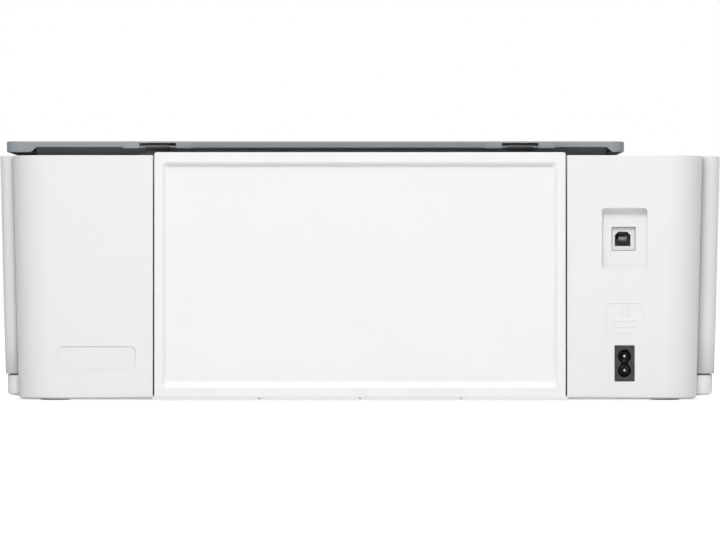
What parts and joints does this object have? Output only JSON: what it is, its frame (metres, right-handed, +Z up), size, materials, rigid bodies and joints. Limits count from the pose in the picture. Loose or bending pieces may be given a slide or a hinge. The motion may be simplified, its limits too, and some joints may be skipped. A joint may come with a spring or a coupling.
{
  "type": "inkjet printer",
  "caption": "All-in-one inkjet printer with a flatbed scanner, refillable ink chambers, a rear input tray that lifts out and a pull-out output tray.",
  "frame": {"origin": "on the floor under the middle of the casing", "axes": "+Z up, -Y towards the front with the output slot, +Y towards the back with the sockets"},
  "size_m": [0.435, 0.3615, 0.1563],
  "materials": {
    "white_shell": "fine spark-eroded grain, satin",
    "tray_white": "fine grain, slightly brighter than the casing",
    "lid_grey": "blue-grey, satin",
    "pad_white": "soft white",
    "rubber": "matte",
    "steel": "rolled sheet and ground rod",
    "dark_plastic": "dark grey, satin",
    "black_plastic": "black, satin",
    "socket_plastic": "white, with a grey tongue",
    "glass": "clear",
    "gloss_panel": "glossy black",
    "display": "dark display",
    "board": "green solder resist",
    "clear_window": "clear, lightly smoked",
    "tank_plastic": "translucent",
    "gear_white": "natural acetal",
    "roller_rubber": "rubber sleeves on a steel shaft",
    "latch_blue": "blue",
    "cap_black": "satin",
    "cap_cyan": "satin",
    "cap_magenta": "satin",
    "cap_yellow": "satin",
    "button_grey": "satin"
  },
  "bodies": {
    "casing": {"base_pan": "white_shell", "rear_cover": "white_shell", "side_cover_left": "white_shell", "side_cover_right": "white_shell", "front_bezel": "white_shell", "top_deck": "white_shell", "rubber_feet": "rubber", "casing_screws": "steel", "scanner_base": "dark_plastic", "scanner_glass": "glass", "lid_hinge_arms": "dark_plastic", "control_panel": "gloss_panel", "display_window": "display", "mainboard": "board", "power_supply": "black_plastic", "power_inlet": "black_plastic", "usb_port": "socket_plastic", "mech_frame": "steel", "guide_rods": "steel", "paper_guides": "black_plastic", "service_station": "black_plastic", "drive_motors": "steel", "drive_belt": "rubber", "tank_window": "clear_window", "ink_tank_block": "tank_plastic"},
    "lid": {"scanner_lid": "lid_grey", "lid_pad": "pad_white"},
    "carrier": {"tray_carrier": "dark_plastic"},
    "tray": {"input_tray": "tray_white", "tray_support_plate": "tray_white"},
    "guide_right": {"width_guide_right": "dark_plastic"},
    "guide_left": {"width_guide_left": "dark_plastic"},
    "guide_gear": {"guide_pinion": "gear_white"},
    "door": {"front_door": "white_shell"},
    "output": {"output_tray": "dark_plastic"},
    "extender": {"tray_extender": "dark_plastic"},
    "stop": {"paper_stop": "dark_plastic"},
    "ink_cover": {"ink_lid": "white_shell"},
    "cap_1": {"ink_cap_1": "cap_black"},
    "cap_2": {"ink_cap_2": "cap_cyan"},
    "cap_3": {"ink_cap_3": "cap_magenta"},
    "cap_4": {"ink_cap_4": "cap_yellow"},
    "carriage": {"print_carriage": "black_plastic", "printheads": "black_plastic"},
    "latch": {"printhead_latch": "latch_blue"},
    "pulley_drive": {"drive_pulley": "gear_white"},
    "pulley_idle": {"idler_pulley": "gear_white"},
    "feed": {"feed_roller": "roller_rubber"},
    "exit_roller": {"output_roller": "roller_rubber"},
    "idler": {"idler_gear": "gear_white"},
    "pickup": {"pickup_roller": "roller_rubber"},
    "pinion": {"motor_pinion": "gear_white"},
    "pinch": {"pinch_rollers": "black_plastic"},
    "stars": {"star_wheels": "black_plastic"},
    "scan_bar": {"scan_carriage": "black_plastic"},
    "key_power": {"button_power": "button_grey"},
    "key_wireless": {"button_wireless": "button_grey"},
    "key_info": {"button_info": "button_grey"},
    "key_cancel": {"button_cancel": "button_grey"},
    "key_copy": {"button_copy": "button_grey"}
  },
  "joints": [
    {"name": "lid_hinge", "type": "hinge", "parent": "casing", "child": "lid", "pos_m": [0, 0.1545, 0.153], "axis": [-1, 0, 0], "range_deg": [0, 80]},
    {"name": "tray_lift", "type": "slide", "parent": "casing", "child": "carrier", "axis": [0, 0, 1], "range_m": [0, 0.105]},
    {"name": "tray_tilt", "type": "hinge", "parent": "carrier", "child": "tray", "pos_m": [0, 0.1768, 0.007], "axis": [-1, 0, 0], "range_deg": [0, 20]},
    {"name": "guide_right_slide", "type": "slide", "parent": "tray", "child": "guide_right", "axis": [-1, 0, 0], "range_m": [0, 0.057]},
    {"name": "guide_left_slide", "type": "slide", "parent": "tray", "child": "guide_left", "axis": [1, 0, 0], "range_m": [0, 0.057]},
    {"name": "guide_gear_turn", "type": "hinge", "parent": "tray", "child": "guide_gear", "pos_m": [0, 0.1727, 0.056], "axis": [0, 1, 0], "range_deg": [0, 690]},
    {"name": "front_door_hinge", "type": "hinge", "parent": "casing", "child": "door", "pos_m": [0, -0.17569, 0.0588], "axis": [1, 0, 0], "range_deg": [0, 90]},
    {"name": "output_tray_slide", "type": "slide", "parent": "casing", "child": "output", "axis": [0, -1, 0], "range_m": [0, 0.1]},
    {"name": "extender_slide", "type": "slide", "parent": "output", "child": "extender", "axis": [0, -1, 0], "range_m": [0, 0.068]},
    {"name": "paper_stop_hinge", "type": "hinge", "parent": "output", "child": "stop", "pos_m": [0, -0.16975, 0.01775], "axis": [1, 0, 0], "range_deg": [0, 85]},
    {"name": "ink_lid_hinge", "type": "hinge", "parent": "casing", "child": "ink_cover", "pos_m": [0.16, -0.123, 0.1441], "axis": [-1, 0, 0], "range_deg": [0, 75]},
    {"name": "ink_cap_1_hinge", "type": "hinge", "parent": "casing", "child": "cap_1", "pos_m": [0.1312, -0.134, 0.115], "axis": [-1, 0, 0], "range_deg": [0, 95]},
    {"name": "ink_cap_2_hinge", "type": "hinge", "parent": "casing", "child": "cap_2", "pos_m": [0.151, -0.134, 0.115], "axis": [-1, 0, 0], "range_deg": [0, 95]},
    {"name": "ink_cap_3_hinge", "type": "hinge", "parent": "casing", "child": "cap_3", "pos_m": [0.1708, -0.134, 0.115], "axis": [-1, 0, 0], "range_deg": [0, 95]},
    {"name": "ink_cap_4_hinge", "type": "hinge", "parent": "casing", "child": "cap_4", "pos_m": [0.1906, -0.134, 0.115], "axis": [-1, 0, 0], "range_deg": [0, 95]},
    {"name": "carriage_slide", "type": "slide", "parent": "casing", "child": "carriage", "axis": [-1, 0, 0], "range_m": [0, 0.287]},
    {"name": "latch_hinge", "type": "hinge", "parent": "carriage", "child": "latch", "pos_m": [0.1515, 0.055, 0.102], "axis": [-1, 0, 0], "range_deg": [0, 20]},
    {"name": "drive_pulley_turn", "type": "hinge", "parent": "casing", "child": "pulley_drive", "pos_m": [0.1882, 0.075, 0.0905], "axis": [0, 0, -1], "range_deg": [0, 2950]},
    {"name": "idler_pulley_turn", "type": "hinge", "parent": "casing", "child": "pulley_idle", "pos_m": [-0.1682, 0.075, 0.0905], "axis": [0, 0, -1], "range_deg": [0, 2950]},
    {"name": "feed_roller_turn", "type": "hinge", "parent": "casing", "child": "feed", "pos_m": [0, 0.088, 0.04], "axis": [1, 0, 0], "continuous": true},
    {"name": "output_roller_turn", "type": "hinge", "parent": "casing", "child": "exit_roller", "pos_m": [0, 0.002, 0.04], "axis": [1, 0, 0], "continuous": true},
    {"name": "idler_gear_turn", "type": "hinge", "parent": "casing", "child": "idler", "pos_m": [-0.188, 0.045, 0.04], "axis": [1, 0, 0], "continuous": true},
    {"name": "pickup_roller_turn", "type": "hinge", "parent": "casing", "child": "pickup", "pos_m": [0, 0.13029, 0.05539], "axis": [1, 0, 0], "continuous": true},
    {"name": "motor_pinion_turn", "type": "hinge", "parent": "casing", "child": "pinion", "pos_m": [-0.188, 0.1035, 0.06685], "axis": [1, 0, 0], "continuous": true},
    {"name": "pinch_rollers_turn", "type": "hinge", "parent": "casing", "child": "pinch", "pos_m": [0, 0.088, 0.0493], "axis": [1, 0, 0], "continuous": true},
    {"name": "star_wheels_turn", "type": "hinge", "parent": "casing", "child": "stars", "pos_m": [0, 0.002, 0.0513], "axis": [1, 0, 0], "continuous": true},
    {"name": "scan_slide", "type": "slide", "parent": "casing", "child": "scan_bar", "axis": [1, 0, 0], "range_m": [0, 0.29]},
    {"name": "button_power_press", "type": "slide", "parent": "casing", "child": "key_power", "axis": [0, 0, -1], "range_m": [0, 0.001], "stiffness_N_per_m": 300},
    {"name": "button_wireless_press", "type": "slide", "parent": "casing", "child": "key_wireless", "axis": [0, 0, -1], "range_m": [0, 0.001], "stiffness_N_per_m": 300},
    {"name": "button_info_press", "type": "slide", "parent": "casing", "child": "key_info", "axis": [0, 0, -1], "range_m": [0, 0.001], "stiffness_N_per_m": 300},
    {"name": "button_cancel_press", "type": "slide", "parent": "casing", "child": "key_cancel", "axis": [0, 0, -1], "range_m": [0, 0.001], "stiffness_N_per_m": 300},
    {"name": "button_copy_press", "type": "slide", "parent": "casing", "child": "key_copy", "axis": [0, 0, -1], "range_m": [0, 0.001], "stiffness_N_per_m": 300}
  ],
  "couplings": [
    {"joint": "guide_left_slide", "follows": "guide_right_slide", "ratio": 1},
    {"joint": "guide_gear_turn", "follows": "guide_right_slide", "rad_per_m": 208.33},
    {"joint": "drive_pulley_turn", "follows": "carriage_slide", "rad_per_m": 178.57},
    {"joint": "idler_pulley_turn", "follows": "carriage_slide", "rad_per_m": 178.57},
    {"joint": "output_roller_turn", "follows": "feed_roller_turn", "ratio": 1},
    {"joint": "idler_gear_turn", "follows": "feed_roller_turn", "ratio": -1.3889},
    {"joint": "pickup_roller_turn", "follows": "feed_roller_turn", "ratio": -1.25},
    {"joint": "motor_pinion_turn", "follows": "feed_roller_turn", "ratio": -4.1667},
    {"joint": "pinch_rollers_turn", "follows": "feed_roller_turn", "ratio": -2},
    {"joint": "star_wheels_turn", "follows": "feed_roller_turn", "ratio": -1.2}
  ]
}
